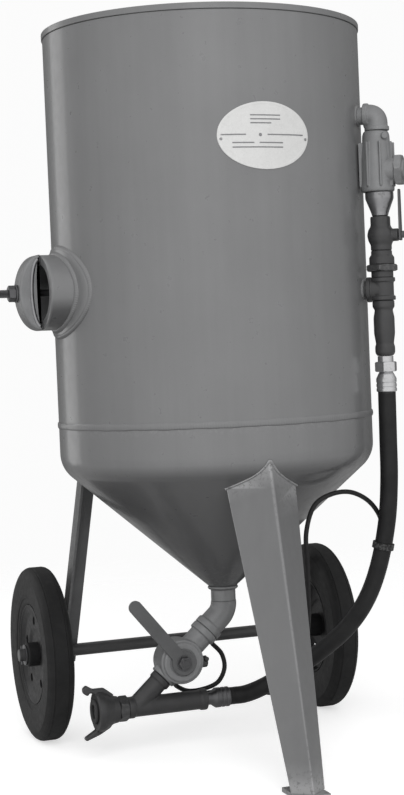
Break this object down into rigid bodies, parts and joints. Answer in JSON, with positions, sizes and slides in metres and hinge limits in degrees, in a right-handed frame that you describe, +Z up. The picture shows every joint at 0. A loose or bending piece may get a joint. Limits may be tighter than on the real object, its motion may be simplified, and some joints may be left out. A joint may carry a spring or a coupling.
{
  "type": "portable abrasive blast pot",
  "caption": "Wheeled upright pressure pot with a dished top, conical bottom, front leg, handway, air piping, metering valve and hose coupling.",
  "frame": {"origin": "centre of the front foot's sole, on the floor", "axes": "+Z up along the vessel; the front leg points to -Y; the wheel axle lies along X"},
  "size_m": [0.771, 0.9, 1.398],
  "materials": {
    "vessel_paint": "gloss",
    "fitting_paint": "satin",
    "cast_iron": "matte",
    "bright_metal": "polished",
    "bare_steel": "satin",
    "tyre_rubber": "matte",
    "hose_rubber": "satin",
    "label_plate": "satin"
  },
  "bodies": {
    "pot": {"tank_shell": "vessel_paint", "rim_ring": "vessel_paint", "top_head": "vessel_paint", "bottom_head": "vessel_paint", "handway_neck": "vessel_paint", "handway_pad": "vessel_paint", "front_leg": "vessel_paint", "foot_plate": "vessel_paint", "rear_leg_left": "vessel_paint", "rear_leg_right": "vessel_paint", "axle": "vessel_paint", "rear_handle": "vessel_paint", "outlet_nipple": "fitting_paint", "handway_cover": "fitting_paint", "handway_crab": "fitting_paint", "vent_elbow": "fitting_paint", "relay_body": "fitting_paint", "relay_side_cap": "fitting_paint", "choke_body": "fitting_paint", "union_upper": "fitting_paint", "union_nut": "fitting_paint", "tee": "fitting_paint", "branch_nipple": "fitting_paint", "check_valve": "fitting_paint", "elbow_45": "fitting_paint", "valve_body": "fitting_paint", "valve_cover": "fitting_paint", "cleanout_plug": "cast_iron", "wye": "cast_iron", "coupling_collar": "cast_iron", "hose_coupling": "cast_iron", "reducer": "bright_metal", "hose_nut": "bright_metal", "hose_ferrule": "bright_metal", "lower_ferrule": "bright_metal", "fill_seat": "bare_steel", "riser_pipe": "bare_steel", "handway_bolt": "bare_steel", "axle_washer_left": "bare_steel", "axle_washer_right": "bare_steel", "cotter_pin_left": "bare_steel", "cotter_pin_right": "bare_steel", "hose_band": "bare_steel", "popup_gasket": "hose_rubber", "handway_gasket": "hose_rubber", "coupling_gasket": "hose_rubber", "pusher_hose": "hose_rubber", "control_line": "hose_rubber", "valve_line": "hose_rubber", "nameplate": "label_plate"},
    "wheel_left": {"tyre_left": "tyre_rubber", "wheel_disc_left": "fitting_paint"},
    "wheel_right": {"tyre_right": "tyre_rubber", "wheel_disc_right": "fitting_paint"},
    "metering": {"metering_lever": "vessel_paint", "valve_plug": "bare_steel", "lever_nut": "bare_steel"},
    "choke": {"choke_lever": "bare_steel"},
    "popup": {"popup_valve": "cast_iron"},
    "crab_nut": {"handway_nut": "bare_steel"}
  },
  "joints": [
    {"name": "wheel_left_spin", "type": "hinge", "parent": "pot", "child": "wheel_left", "pos_m": [-0.298, 0.682, 0.176], "axis": [1, 0, 0], "continuous": true},
    {"name": "wheel_right_spin", "type": "hinge", "parent": "pot", "child": "wheel_right", "pos_m": [0.312, 0.682, 0.176], "axis": [1, 0, 0], "continuous": true},
    {"name": "metering_lever_turn", "type": "hinge", "parent": "pot", "child": "metering", "pos_m": [-0.0911, 0.415, 0.18167], "axis": [0, 1, 0], "range_deg": [0, 90]},
    {"name": "choke_lever_turn", "type": "hinge", "parent": "pot", "child": "choke", "pos_m": [0.28368, 0.21398, 0.986], "axis": [0.809, -0.5878, 0], "range_deg": [0, 90]},
    {"name": "popup_lift", "type": "slide", "parent": "pot", "child": "popup", "axis": [0, 0, 1], "range_m": [0, 0.0255]},
    {"name": "handway_nut_turn", "type": "hinge", "parent": "pot", "child": "crab_nut", "pos_m": [-0.385, 0.415, 0.9015], "axis": [1, 0, 0], "continuous": true}
  ]
}
